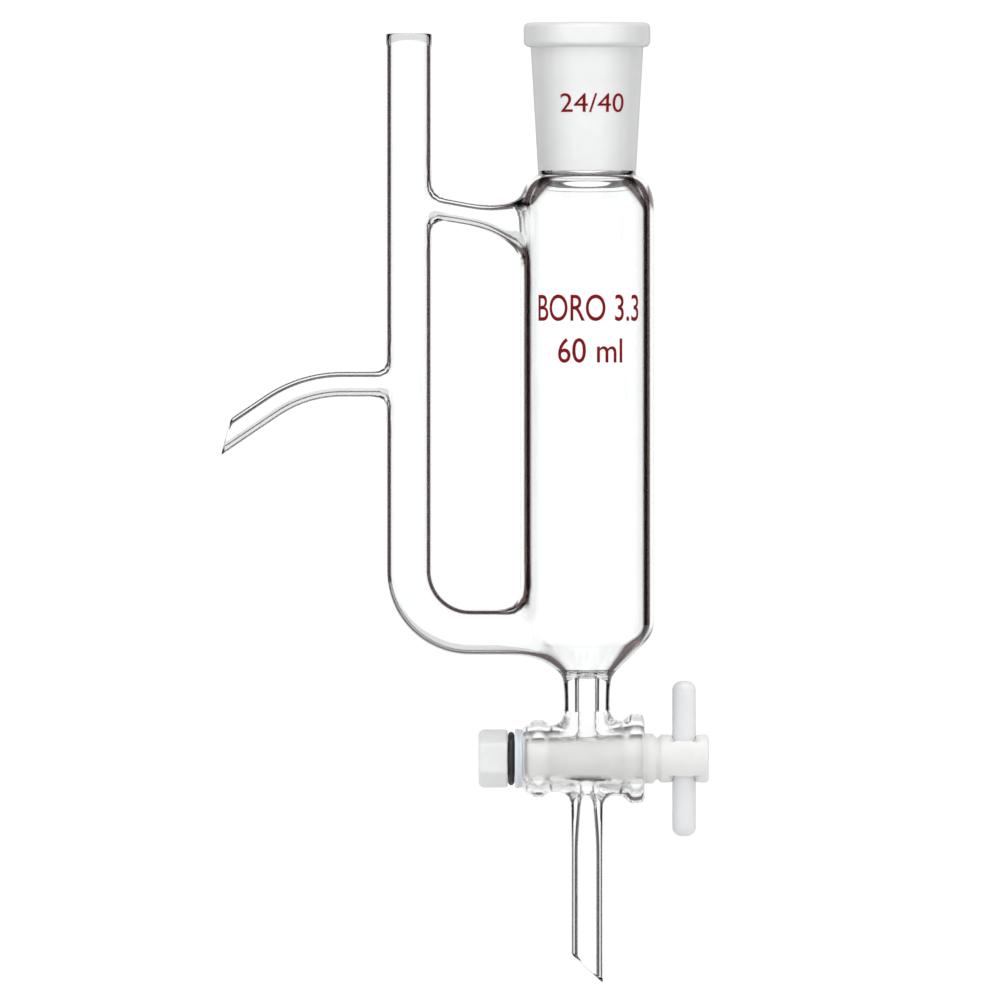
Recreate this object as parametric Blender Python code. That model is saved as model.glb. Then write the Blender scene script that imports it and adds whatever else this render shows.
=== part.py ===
"""Oil and water separator receiver with a PTFE stopcock, in metres, +Z up.

The origin is the centre of the ground socket's mouth, in the plane of its rim, and +X points
from the riser tube towards the stopcock's handle. The glass body is one piece on the real
object, fused in a flame from drawn tubes. Here each drawn section is an object of its own, and
two sections stop WELD_GAP short of each other at their weld. The stopcock's plug, handle rod,
washer, O-ring and nut are the loose pieces.
"""

import math

import bmesh
import bpy
from mathutils import Vector

MM = 0.001
X, Y, Z = Vector((1, 0, 0)), Vector((0, 1, 0)), Vector((0, 0, 1))

WELD_GAP = 0.1 * MM
PLUG_CLEARANCE = 0.06 * MM
PRESS_GAP = 0.05 * MM
THREAD_CLEARANCE = 0.3 * MM
THROUGH = 3 * MM

# Sides of the round pieces.
WIDE_SIDES = 36
TUBE_SIDES = 28
THIN_SIDES = 24
STOPCOCK_SIDES = 36

# Ground socket, size 24/40: a 24 mm mouth that narrows by 1 in 10 over 40 mm.
SOCKET_LENGTH = 40.0 * MM
SOCKET_MOUTH_R = 12.0 * MM
SOCKET_FOOT_R = 10.0 * MM
SOCKET_TOP_OUTER_R = 15.2 * MM
SOCKET_FOOT_OUTER_R = 13.25 * MM
BEAD_R = 17.1 * MM
BEAD_HEIGHT = 6.6 * MM
BEAD_EDGE = 1.5 * MM

# Reservoir.
RESERVOIR_R = 18.1 * MM
RESERVOIR_WALL = 1.6 * MM
SHOULDER_TOP_Z = -41.0 * MM
SHOULDER_FOOT_Z = -50.0 * MM
SHOULDER_RUN = 5.7 * MM
SIDE_FOOT_Z = -161.9 * MM
CORNER_R = 9.5 * MM
CONE_ANGLE = math.radians(45)
CONE_FOOT_R = 7.0 * MM
BODY_TOP_Z = -63.0 * MM
BODY_FOOT_Z = -156.0 * MM

# Riser tube and the bend that brings it back under the reservoir.
RISER_X = -48.1 * MM
RISER_R = 6.2 * MM
RISER_BORE_R = 5.2 * MM
RISER_TOP_Z = -3.0 * MM
BEND_TOP_Z = -148.0 * MM
BEND_R = 16.6 * MM
BEND_END_X = -10.0 * MM

# Bridge tube, which slopes down from the riser to the reservoir's shoulder.
BRIDGE_SLOPE = math.radians(-10.1)
BRIDGE_START_Z = -48.8 * MM
BRIDGE_WALL = 1.15 * MM

# Overflow spout.
SPOUT_Z = -97.6 * MM
SPOUT_R = 3.5 * MM
SPOUT_BORE_R = 2.25 * MM
SPOUT_STRAIGHT = 18.0 * MM
SPOUT_BEND_R = 34.0 * MM
SPOUT_DROP = math.radians(34)
SPOUT_END = 14.9 * MM
SPOUT_CUT_HEADING = math.radians(165)

# Stopcock: everything on it turns round a level axis along X.
STOPCOCK_Z = -198.7 * MM
NECK_R = 6.2 * MM
NECK_BORE_R = 2.45 * MM
PLUG_BORE_R = 2.0 * MM
BARREL_START = -17.3 * MM
BARREL_END = 15.5 * MM
BARREL_MIDDLE_R = 9.4 * MM
NUT_BEAD_HALF = 3.4 * MM
NUT_BEAD_ROOT_R = 8.6 * MM
NUT_BEAD_HEIGHT = 1.7 * MM
HANDLE_BEAD_HALF = 2.7 * MM
HANDLE_BEAD_ROOT_R = 10.2 * MM
HANDLE_BEAD_HEIGHT = 1.9 * MM
BARREL_BORE_START_R = 5.8 * MM
BARREL_BORE_SLOPE = 0.04
PLUG_START = -16.5 * MM

# Drip stem, with its tip cut on the slant.
STEM_R = 4.3 * MM
STEM_BORE_R = 3.0 * MM
STEM_TIP_Z = -255.4 * MM
STEM_TIP_SLOPE = 0.907

# Plug, handle rod, washer, O-ring and nut, in millimetres along the axis from the cross bore.
PLUG_SHOULDER_R = 6.75 * MM
PLUG_GROOVE_R = 5.6 * MM
GROOVE_X = 18.9 * MM
HEAD_R = 6.5 * MM
HEAD_START = 20.0 * MM
HEAD_END = 32.9 * MM
HEAD_EDGE = 1.0 * MM
ROD_X = 26.2 * MM
ROD_R = 3.2 * MM
ROD_LENGTH = 42.0 * MM
ROD_EDGE = 2.2 * MM
WASHER_START = -19.5 * MM
WASHER_THICKNESS = 2.1 * MM
WASHER_R = 8.0 * MM
WASHER_BORE_R = 4.95 * MM
O_RING_WIDTH = 1.9 * MM
O_RING_R = 7.25 * MM
O_RING_BORE_R = 4.95 * MM
NUT_START = -29.3 * MM
NUT_END = -21.45 * MM
NUT_ACROSS_FLATS = 14.0 * MM
NUT_CORNER_R = 7.85 * MM
TAIL_START = -28.5 * MM
TAIL_R = 4.8 * MM
THREAD_PITCH = 2.0 * MM
THREAD_DEPTH = 0.7 * MM
THREAD_RINGS_PER_TURN = 5


# Small helpers ------------------------------------------------------------------------------


def material(name, colour, roughness, transmission=0.0):
    made = bpy.data.materials.new(name)
    made.use_nodes = True
    shader = made.node_tree.nodes["Principled BSDF"]
    shader.inputs["Base Color"].default_value = (*colour, 1.0)
    shader.inputs["Roughness"].default_value = roughness
    shader.inputs["Metallic"].default_value = 0.0
    shader.inputs["Transmission Weight"].default_value = transmission
    shader.inputs["IOR"].default_value = 1.47
    return made


def circle(centre, radius, sides, across, along):
    """Points round centre in the plane that along is square to. The radius may depend on the angle."""
    beside = along.cross(across)
    points = []
    for i in range(sides):
        turn = 2 * math.pi * i / sides
        reach = radius(turn) if callable(radius) else radius
        points.append(centre + reach * (math.cos(turn) * across + math.sin(turn) * beside))
    return points


def loft(name, rings, finish, closed=False):
    """An object whose skin runs over rings of points.

    With closed, the last ring joins the first, which makes a piece with a bore through it.
    Otherwise the first and last rings are filled.
    """
    shape = bmesh.new()
    loops = [[shape.verts.new(point) for point in points] for points in rings]
    pairs = list(zip(loops, loops[1:]))
    if closed:
        pairs.append((loops[-1], loops[0]))
    else:
        shape.faces.new(loops[0])
        shape.faces.new(loops[-1])
    for low, high in pairs:
        for i in range(len(low)):
            j = (i + 1) % len(low)
            shape.faces.new((low[i], low[j], high[j], high[i]))
    bmesh.ops.recalc_face_normals(shape, faces=shape.faces)
    mesh = bpy.data.meshes.new(name)
    shape.to_mesh(mesh)
    shape.free()
    mesh.shade_smooth()
    mesh.set_sharp_from_angle(angle=math.radians(35))
    made = bpy.data.objects.new(name, mesh)
    bpy.context.scene.collection.objects.link(made)
    if finish:
        made.data.materials.append(finish)
    return made


def turned(name, outline, sides, finish, closed=True, along=Z, across=X, base=Vector()):
    """A piece turned round the direction along, from (radius, place along it) points."""
    rings = [circle(base + place * along, radius, sides, across, along) for radius, place in outline]
    return loft(name, rings, finish, closed)


def tube(name, stations, sides, finish, wall=True, end_normal=None):
    """A tube in the XZ plane through stations of (centre, direction, outer radius, bore radius).

    Without a wall it is the solid that fills the bore. With end_normal, the far end is slid
    along the tube's direction onto a plane with that normal.
    """
    outer = [circle(at, radius, sides, Y, way) for at, way, radius, _ in stations]
    inner = [circle(at, radius, sides, Y, way) for at, way, _, radius in stations]
    if end_normal:
        at, way = stations[-1][:2]
        for ring in (outer[-1], inner[-1]):
            ring[:] = [p + way * ((at - p).dot(end_normal) / way.dot(end_normal)) for p in ring]
    if not wall:
        return loft(name, inner, finish)
    return loft(name, outer + inner[::-1], finish, closed=True)


def arc(centre, radii, start, end, steps):
    """Points on an ellipse's arc, with angles in radians."""
    turns = [start + (end - start) * i / steps for i in range(steps + 1)]
    return [(centre[0] + radii[0] * math.cos(t), centre[1] + radii[1] * math.sin(t)) for t in turns]


def cutter(made):
    made.hide_render = True
    made.display_type = "WIRE"
    return made


def cut(made, *tools):
    for tool in tools:
        boolean = made.modifiers.new("cut_" + tool.name, "BOOLEAN")
        boolean.operation = "DIFFERENCE"
        boolean.solver = "EXACT"
        boolean.object = tool


def rod_cutter(name, radius, start, end, sides=THIN_SIDES):
    """A round cutter between two points of the XZ plane."""
    way = (end - start).normalized()
    return cutter(tube(name, [(p, way, radius, radius) for p in (start, end)], sides, None, wall=False))


def heading(angle):
    return Vector((math.cos(angle), 0, math.sin(angle)))


# Glass outlines -----------------------------------------------------------------------------


def reservoir_outline(offset=0.0):
    """The reservoir's outer side from its shoulder down to the cone's foot, moved out by offset."""
    shoulder = arc(
        (RESERVOIR_R - SHOULDER_RUN, SHOULDER_FOOT_Z),
        (SHOULDER_RUN + offset, SHOULDER_TOP_Z - SHOULDER_FOOT_Z + offset),
        math.acos((SOCKET_FOOT_OUTER_R - RESERVOIR_R + SHOULDER_RUN) / SHOULDER_RUN),
        0,
        6,
    )
    corner_centre = (RESERVOIR_R - CORNER_R, SIDE_FOOT_Z)
    corner = arc(corner_centre, (CORNER_R + offset, CORNER_R + offset), 0, -CONE_ANGLE, 4)
    last_r, last_z = corner[-1]
    return shoulder + corner + [(CONE_FOOT_R, last_z - (last_r - CONE_FOOT_R) * math.tan(CONE_ANGLE))]


def bead(place, root_r, half_width, height, offset):
    """A rounded bead round the barrel, from one side of its foot to the other."""
    return arc((root_r, place), (height + offset, half_width + offset), -math.pi / 2, math.pi / 2, 6)


def barrel_outline(offset=0.0):
    """The barrel's outer side from its nut end to its handle end, as (radius, place along X)."""
    nut_place = BARREL_START + NUT_BEAD_HALF
    nut_bead = bead(nut_place, NUT_BEAD_ROOT_R, NUT_BEAD_HALF, NUT_BEAD_HEIGHT, offset)
    handle_place = BARREL_END - HANDLE_BEAD_HALF
    handle_bead = bead(handle_place, HANDLE_BEAD_ROOT_R, HANDLE_BEAD_HALF, HANDLE_BEAD_HEIGHT, offset)
    return nut_bead + [(BARREL_MIDDLE_R + offset, 0.0)] + handle_bead


def barrel_bore_r(place):
    return BARREL_BORE_START_R + BARREL_BORE_SLOPE * (place - BARREL_START)


def riser_stations():
    return [(Vector((RISER_X, 0, z)), -Z, RISER_R, RISER_BORE_R) for z in (RISER_TOP_Z, BEND_TOP_Z)]


def bridge_stations():
    """The bridge is waisted: a flare on the riser, a slim middle and a trumpet on the reservoir."""
    way = heading(BRIDGE_SLOPE)
    start = Vector((RISER_X, 0, BRIDGE_START_Z))
    flare = ((0.0, 4.9), (7.5, 4.1), (9.5, 3.6))
    waist = ((14.0, 3.5), (20.0, 3.7))
    trumpet = ((24.5, 4.5), (28.0, 5.6), (31.5, 6.5), (38.0, 6.9))
    return [
        (start + way * length * MM, way, radius * MM, radius * MM - BRIDGE_WALL)
        for length, radius in flare + waist + trumpet
    ]


def bend_stations():
    """A quarter turn from the riser's foot, then level into the reservoir's corner."""
    top = Vector((RISER_X, 0, BEND_TOP_Z - WELD_GAP))
    centre = Vector((RISER_X + BEND_R, 0, BEND_TOP_Z))
    stations = [(top, -Z, RISER_R, RISER_BORE_R)]
    steps = 8
    for i in range(1, steps + 1):
        turn = math.pi + math.pi / 2 * i / steps
        stations.append((centre + BEND_R * heading(turn), heading(turn + math.pi / 2), RISER_R, RISER_BORE_R))
    end = Vector((BEND_END_X, 0, BEND_TOP_Z - BEND_R))
    return stations + [(end, X, RISER_R, RISER_BORE_R)]


def spout_stations():
    """Level out of the riser, then a slow bend and a straight end that points down."""
    at, angle = Vector((RISER_X, 0, SPOUT_Z)), math.pi
    stations = []
    for length, radius in ((0.0, 4.6), (7.0, 4.3), (9.0, 3.7), (11.5, 3.5)):
        stations.append((at + length * MM * heading(angle), heading(angle), radius * MM, SPOUT_BORE_R))
    at = at + SPOUT_STRAIGHT * heading(angle)
    centre = at - SPOUT_BEND_R * Z
    steps = 6
    for i in range(steps + 1):
        turn = SPOUT_DROP * i / steps
        at = centre + SPOUT_BEND_R * heading(math.pi / 2 + turn)
        stations.append((at, heading(math.pi + turn), SPOUT_R, SPOUT_BORE_R))
    way = heading(math.pi + SPOUT_DROP)
    return stations + [(at + SPOUT_END * way, way, SPOUT_R, SPOUT_BORE_R)]


# Glass sections -----------------------------------------------------------------------------


def make_ground_socket(finish):
    corner_r = BEAD_R - BEAD_EDGE
    outer = arc((corner_r, -BEAD_EDGE), (BEAD_EDGE, BEAD_EDGE), math.pi / 2, 0, 4)
    outer += arc((corner_r, BEAD_EDGE - BEAD_HEIGHT), (BEAD_EDGE, BEAD_EDGE), 0, -math.pi / 2, 4)
    outer += [(SOCKET_TOP_OUTER_R, -BEAD_HEIGHT - 0.4 * MM), (SOCKET_FOOT_OUTER_R, -SOCKET_LENGTH)]
    inner = [(SOCKET_FOOT_R, -SOCKET_LENGTH), (SOCKET_MOUTH_R, 0.0)]
    return turned("ground_socket", outer + inner, WIDE_SIDES, finish)


def between(outline, top, foot):
    """The stretch of an outline that runs down from one height to another."""
    kept = [(radius, height) for radius, height in outline if foot < height < top]
    ends = []
    for level in (top, foot):
        for (r0, z0), (r1, z1) in zip(outline, outline[1:]):
            if z1 <= level <= z0:
                ends.append((r0 + (r1 - r0) * (z0 - level) / (z0 - z1), level))
                break
    return [ends[0], *kept, ends[1]]


def make_reservoir(finish, bridge_bore, bend_bore):
    """One tube on the real object, in three stretches here: shoulder, straight body and base."""
    top = -SOCKET_LENGTH - WELD_GAP
    outer = [(SOCKET_FOOT_OUTER_R, top)] + reservoir_outline()
    wall = RESERVOIR_WALL
    shoulder = arc(
        (SOCKET_FOOT_R, SHOULDER_FOOT_Z - wall / 3),
        (RESERVOIR_R - wall - SOCKET_FOOT_R, SHOULDER_TOP_Z - SHOULDER_FOOT_Z),
        math.pi / 2,
        0,
        6,
    )
    corner = arc((RESERVOIR_R - CORNER_R, SIDE_FOOT_Z), (CORNER_R - wall, CORNER_R - wall), 0, -CONE_ANGLE, 4)
    foot_z = outer[-1][1]
    foot = (corner[-1][0] - (corner[-1][1] - foot_z) / math.tan(CONE_ANGLE), foot_z)
    inner = [(SOCKET_FOOT_R, top)] + shoulder + corner + [foot]
    stretches = (
        ("reservoir_shoulder", top, BODY_TOP_Z, [bridge_bore]),
        ("reservoir_body", BODY_TOP_Z - WELD_GAP, BODY_FOOT_Z, []),
        ("reservoir_base", BODY_FOOT_Z - WELD_GAP, foot_z, [bend_bore]),
    )
    for name, high, low, tools in stretches:
        outline = between(outer, high, low) + between(inner, high, low)[::-1]
        cut(turned(name, outline, WIDE_SIDES, finish), *tools)
    return foot


def make_stopcock_neck(cone_foot, finish, *tools):
    """Thick glass that carries the reservoir's cone down to the barrel."""
    bore_r, top = cone_foot
    top -= WELD_GAP
    outer = [(CONE_FOOT_R, top), (6.5 * MM, top - 1.2 * MM), (NECK_R, top - 3 * MM)]
    outer += [(NECK_R, -185.5 * MM), (6.9 * MM, -187.5 * MM), (8.2 * MM, -190 * MM), (8.4 * MM, STOPCOCK_Z)]
    inner = [(bore_r, top), (NECK_BORE_R, top - (bore_r - NECK_BORE_R) * math.tan(CONE_ANGLE))]
    inner += [(NECK_BORE_R, STOPCOCK_Z)]
    cut(turned("stopcock_neck", outer + inner[::-1], TUBE_SIDES, finish), *tools)


def make_stopcock_barrel(finish, axle, *tools):
    bore = [(barrel_bore_r(place), place) for place in (BARREL_END, BARREL_START)]
    made = turned("stopcock_barrel", barrel_outline() + bore, STOPCOCK_SIDES, finish)
    made.parent = axle
    cut(made, *tools)


def make_drip_stem(finish, *tools):
    """The stem leaves the barrel as a narrow bore that opens out, and its tip is cut on the slant."""
    shape = ((0.0, 6.4, 2.0), (10.0, 5.6, 2.0), (11.5, 4.9, 2.0), (13.5, 4.3, 2.1), (22.0, 4.3, 3.0))
    stations = [
        (Vector((0, 0, STOPCOCK_Z - depth * MM)), -Z, outer * MM, bore * MM) for depth, outer, bore in shape
    ]
    stations.append((Vector((0, 0, STEM_TIP_Z)), -Z, STEM_R, STEM_BORE_R))
    slant = Vector((STEM_TIP_SLOPE, 0, 1))
    cut(tube("drip_stem", stations, TUBE_SIDES, finish, end_normal=slant), *tools)


def make_glass(clear, frosted, axle):
    """The fused sections, each cut back from the sections that it meets."""
    grown = RISER_R + WELD_GAP
    riser_ends = [Vector((RISER_X, 0, z)) for z in (RISER_TOP_Z, BEND_TOP_Z)]
    riser_skin = rod_cutter("riser_skin", grown, *riser_ends, sides=TUBE_SIDES)
    reservoir_skin = cutter(
        turned("reservoir_skin", reservoir_outline(WELD_GAP), WIDE_SIDES, None, closed=False)
    )
    barrel_skin = cutter(
        turned("barrel_skin", barrel_outline(WELD_GAP), STOPCOCK_SIDES, None, closed=False)
    )
    barrel_skin.parent = axle
    bridge_bore = cutter(tube("bridge_bore", bridge_stations(), THIN_SIDES, None, wall=False))
    bend_bore = cutter(tube("bend_bore", bend_stations(), TUBE_SIDES, None, wall=False))
    spout_bore = cutter(tube("spout_bore", spout_stations(), THIN_SIDES, None, wall=False))
    axis = Vector((0, 0, STOPCOCK_Z))
    neck_bore = rod_cutter("neck_bore", NECK_BORE_R, axis, axis + 12 * MM * Z, sides=TUBE_SIDES)
    stem_bore = rod_cutter("stem_bore", PLUG_BORE_R, axis, axis - 12 * MM * Z, sides=TUBE_SIDES)

    make_ground_socket(frosted)
    cone_foot = make_reservoir(clear, bridge_bore, bend_bore)
    cut(tube("bridge_tube", bridge_stations(), THIN_SIDES, clear), riser_skin, reservoir_skin)
    cut(tube("riser_tube", riser_stations(), TUBE_SIDES, clear), bridge_bore, spout_bore)
    cut(tube("return_bend", bend_stations(), TUBE_SIDES, clear), reservoir_skin)
    spout = tube("overflow_spout", spout_stations(), THIN_SIDES, clear, end_normal=heading(SPOUT_CUT_HEADING))
    cut(spout, riser_skin)
    make_stopcock_neck(cone_foot, clear, barrel_skin)
    make_stopcock_barrel(clear, axle, neck_bore, stem_bore)
    make_drip_stem(clear, barrel_skin)


# Stopcock pieces: their Z runs along the stopcock's axis ------------------------------------


def thread_r(place, crest):
    """A rounded right-hand thread: the radius at each turn, for a ring at this place on the axis."""

    def radius(turn):
        wave = math.cos(2 * math.pi * place / THREAD_PITCH - turn)
        return crest - THREAD_DEPTH * (1 - wave) / 2

    return radius


def hexagon_r(inset):
    """A hexagon with blunt corners, one of them at turn 0."""

    def radius(turn):
        from_flat = turn % (math.pi / 3) - math.pi / 6
        return min(NUT_ACROSS_FLATS / 2 / math.cos(from_flat), NUT_CORNER_R) - inset

    return radius


def thread_places(start, end):
    rings = round((end - start) / THREAD_PITCH * THREAD_RINGS_PER_TURN)
    return [start + (end - start) * i / rings for i in range(rings + 1)]


def make_plug(finish, axle, *tools):
    """Threaded tail, smooth land under the washer, tapered plug, shoulder, groove and head."""
    outline = [(thread_r(place, TAIL_R), place) for place in thread_places(TAIL_START, WASHER_START)]
    outline += [(TAIL_R, WASHER_START + 0.3 * MM), (TAIL_R, PLUG_START - 0.4 * MM)]
    outline += [(barrel_bore_r(place) - PLUG_CLEARANCE, place) for place in (PLUG_START, BARREL_END)]
    outline += [(PLUG_SHOULDER_R, BARREL_END + 0.3 * MM), (PLUG_SHOULDER_R, GROOVE_X - 1.15 * MM)]
    outline += [(PLUG_GROOVE_R, GROOVE_X), (HEAD_R - 0.1 * MM, HEAD_START - 0.2 * MM), (HEAD_R, HEAD_START)]
    outline += arc((HEAD_R - HEAD_EDGE, HEAD_END - HEAD_EDGE), (HEAD_EDGE, HEAD_EDGE), 0, math.pi / 2, 3)
    made = turned("stopcock_plug", outline, STOPCOCK_SIDES, finish, closed=False)
    made.parent = axle
    cut(made, *tools)


def make_handle_rod(finish, axle):
    """The rod lies across the head, along the plug's bore, so it shows which way the bore points."""
    half, corner = ROD_LENGTH / 2, ROD_R - ROD_EDGE
    end = arc((corner, half - ROD_EDGE), (ROD_EDGE, ROD_EDGE), 0, math.pi / 2, 4)
    outline = [(radius, -place) for radius, place in end[::-1]] + end
    base = Vector((0, 0, ROD_X))
    made = turned("handle_rod", outline, THIN_SIDES, finish, closed=False, along=X, across=Y, base=base)
    made.parent = axle


def make_washer(finish, axle):
    start, end = WASHER_START, WASHER_START + WASHER_THICKNESS
    edge = 0.3 * MM
    outline = [(WASHER_BORE_R, start), (WASHER_R - edge, start), (WASHER_R, start + edge)]
    outline += [(WASHER_R, end - edge), (WASHER_R - edge, end), (WASHER_BORE_R, end)]
    turned("ptfe_washer", outline, STOPCOCK_SIDES, finish).parent = axle


def make_o_ring(finish, axle):
    """The ring is squeezed between the washer and the nut, so its section is an oval."""
    middle_r, half = (O_RING_R + O_RING_BORE_R) / 2, (O_RING_R - O_RING_BORE_R) / 2
    place = (NUT_END + WASHER_START) / 2
    section = arc((middle_r, place), (half, O_RING_WIDTH / 2), 0, 2 * math.pi, 10)[:-1]
    turned("o_ring", section, STOPCOCK_SIDES, finish).parent = axle


def make_nut(finish, axle):
    """A hexagon nut with its outer end well rounded, and a thread that follows the tail's."""
    outer = ((0.0, 1.5), (0.5, 0.6), (1.5, 0.0))
    outline = [(hexagon_r(inset * MM), NUT_START + place * MM) for place, inset in outer]
    outline += [(hexagon_r(inset * MM), NUT_END - place * MM) for place, inset in ((0.8, 0.0), (0.0, 0.6))]
    crest = TAIL_R + THREAD_CLEARANCE
    outline += [(thread_r(place, crest), place) for place in thread_places(NUT_START, NUT_END)[::-1]]
    turned("lock_nut", outline, STOPCOCK_SIDES, finish).parent = axle


def main():
    for old in list(bpy.data.objects):
        bpy.data.objects.remove(old, do_unlink=True)
    clear = material("clear_glass", (0.95, 0.97, 0.97), 0.02, transmission=1.0)
    frosted = material("frosted_glass", (0.88, 0.89, 0.90), 0.45, transmission=0.4)
    ptfe = material("ptfe", (0.90, 0.90, 0.88), 0.35)
    rod_plastic = material("rod_plastic", (0.84, 0.85, 0.87), 0.4)
    washer_ptfe = material("washer_ptfe", (0.78, 0.82, 0.88), 0.35)
    nut_plastic = material("nut_plastic", (0.87, 0.87, 0.87), 0.35)
    rubber = material("rubber", (0.02, 0.02, 0.02), 0.6)

    axle = bpy.data.objects.new("stopcock_axle", None)
    bpy.context.scene.collection.objects.link(axle)
    axle.location = (0, 0, STOPCOCK_Z)
    axle.rotation_euler = (0, math.pi / 2, 0)

    make_glass(clear, frosted, axle)
    axis = Vector((0, 0, STOPCOCK_Z))
    through = (HEAD_R + THROUGH) * Z
    plug_bore = rod_cutter("plug_bore", PLUG_BORE_R, axis - through, axis + through)
    rod_place = axis + ROD_X * X
    rod_hole = rod_cutter("rod_hole", ROD_R + PRESS_GAP, rod_place - through, rod_place + through)
    make_plug(ptfe, axle, plug_bore, rod_hole)
    make_handle_rod(rod_plastic, axle)
    make_washer(washer_ptfe, axle)
    make_o_ring(rubber, axle)
    make_nut(nut_plastic, axle)


main()
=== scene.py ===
"""The looks of a separatory funnel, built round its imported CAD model.

The glass is one mesh, as the real one is one piece. Its outer and inner sides are grids of rings
round tubes and turned bodies. Where a branch leaves a body, a patch of the body's grid is left
open and joined to the branch, and the points near the weld are then evened out and drawn onto a
smooth union of the two surfaces. Lengths are in millimetres until a mesh is written in metres.
"""

import math

import bmesh
import bpy
import numpy as np
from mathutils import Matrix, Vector


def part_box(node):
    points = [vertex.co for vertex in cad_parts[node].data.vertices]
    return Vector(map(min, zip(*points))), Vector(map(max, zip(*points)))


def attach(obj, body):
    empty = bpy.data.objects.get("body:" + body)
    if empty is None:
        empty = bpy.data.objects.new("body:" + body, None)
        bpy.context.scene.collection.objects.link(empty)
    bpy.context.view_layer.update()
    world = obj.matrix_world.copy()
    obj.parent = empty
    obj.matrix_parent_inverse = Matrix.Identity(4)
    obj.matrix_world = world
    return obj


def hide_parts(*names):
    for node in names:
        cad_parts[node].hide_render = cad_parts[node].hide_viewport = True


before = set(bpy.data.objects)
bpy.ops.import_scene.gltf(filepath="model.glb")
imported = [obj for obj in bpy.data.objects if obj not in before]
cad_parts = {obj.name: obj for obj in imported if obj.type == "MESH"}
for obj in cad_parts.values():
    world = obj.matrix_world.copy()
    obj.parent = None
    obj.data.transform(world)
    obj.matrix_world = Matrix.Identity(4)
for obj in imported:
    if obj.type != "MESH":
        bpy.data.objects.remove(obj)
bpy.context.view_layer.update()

MM = 0.001
X, Y, Z = np.eye(3)


def node_box(node):
    low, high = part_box(node)
    return np.array(low) / MM, np.array(high) / MM


# Places and sizes that the CAD model sets -----------------

SOCKET_LOW, SOCKET_HIGH = node_box("ground_socket")
_, RESERVOIR_HIGH = node_box("reservoir_body")
RISER_LOW, RISER_HIGH = node_box("riser_tube")
BEND_LOW, _ = node_box("return_bend")
SPOUT_LOW, _ = node_box("overflow_spout")
BARREL_LOW, BARREL_HIGH = node_box("stopcock_barrel")
STEM_LOW, _ = node_box("drip_stem")

RIM_Z = SOCKET_HIGH[2]
SOCKET_FOOT_Z = SOCKET_LOW[2]
BEAD_R = SOCKET_HIGH[0]
RESERVOIR_R = RESERVOIR_HIGH[0]
RISER_X = (RISER_LOW[0] + RISER_HIGH[0]) / 2
RISER_R = (RISER_HIGH[0] - RISER_LOW[0]) / 2
RISER_TOP_Z = RISER_HIGH[2]
BEND_TOP_Z = RISER_LOW[2]
ARM_Z = BEND_LOW[2] + RISER_R
BEND_R = BEND_TOP_Z - ARM_Z
AXIS_Z = (BARREL_LOW[2] + BARREL_HIGH[2]) / 2
BARREL_START, BARREL_END = BARREL_LOW[0], BARREL_HIGH[0]
STEM_TIP_Z = STEM_LOW[2]

# Glass sizes that a box doesn't give ----------------------

MOUTH_R, SOCKET_BORE_FOOT_R = 12.0, 10.0
SOCKET_TOP_R, SOCKET_FOOT_R = 15.2, 13.25
BEAD_HEIGHT, BEAD_EDGE = 6.6, 1.5
WALL = 1.75
SHOULDER_TOP_Z, SHOULDER_FOOT_Z = -41.0, -50.0
SHOULDER_RUN = 5.7
SIDE_FOOT_Z, CORNER_R, CORNER_DROP, CORNER_BORE_DROP = -161.9, 9.5, 8.2, 8.6
NECK_R, NECK_BORE_R, NECK_TOP_Z = 6.15, 2.6, -175.5
RISER_BORE_R = RISER_R - 1.0
BRIDGE_SLOPE = math.radians(-10.1)
BRIDGE_START_Z, BRIDGE_WELD_Z = -48.8, -49.9
BRIDGE_WALL = 1.15
SPOUT_Z = -97.6
SPOUT_R, SPOUT_BORE_R = 3.45, 2.25
SPOUT_STRAIGHT, SPOUT_BEND_R, SPOUT_END = 18.0, 34.0, 14.9
SPOUT_DROP = math.radians(34)
SPOUT_CUT_HEADING = math.radians(165)
STEM_R, STEM_BORE_R, STEM_TOP_BORE_R = 4.3, 3.0, 1.9
STEM_TIP_SLOPE = 0.907
BARREL_BORE_START_R, BARREL_BORE_SLOPE = 5.8, 0.04
TIP_EDGE = 0.25
TIP_RINGS = (2.0, 1.0, TIP_EDGE + 0.2, TIP_EDGE)
SLANTED = len(TIP_RINGS) + 1
LIP = 0.35

# Where grids start and end.
SHELL_TOP, SHELL_DEPTH = 12.4, 9.2
NECK_END, NECK_BORE_END = 12.1, 9.5
STEM_START, STEM_BORE_START = 11.8, 9.0
ARM_END_X = -20.6
BRIDGE_SPAN = (10.5, 22.5)
BRIDGE_PATCH_Z = BRIDGE_START_Z - 5.9

# The slots of the glass's finishes.
OUTER, GROUND, BORE, NECK, SHELL, SEAT, ENDS, BRANCH, STEM = range(9)

# Sides of the grids. A branch has four times as many sides as its patch has cells on a side.
WIDE_SIDES = 96
RISER_SIDES = 64
BRANCH_CELLS, BRANCH_SIDES = 16, 64
NECK_CELLS = 24
STEM_CELLS, STEM_SIDES = 20, 80


# Surfaces -------------------------------------------------


def heading(angle):
    return np.array([math.cos(angle), 0.0, math.sin(angle)])


def smooth_max(a, b, reach):
    blend = np.clip(reach - np.abs(a - b), 0, None) / reach
    return np.maximum(a, b) + blend**2 * reach / 4


def smooth_union(a, b, reach):
    return -smooth_max(-a, -b, reach)


def bridge_blend(points):
    """The bridge's weld on the reservoir is tight at its top and sides, and sweeps wide below."""
    away = points - bridge.origin
    away = away - np.outer(away @ bridge.along, bridge.along)
    down = np.clip(-away[:, 2] / (np.linalg.norm(away, axis=1) + 1e-9), 0, 1)
    return 2.8 + 2.0 * down**2


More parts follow.
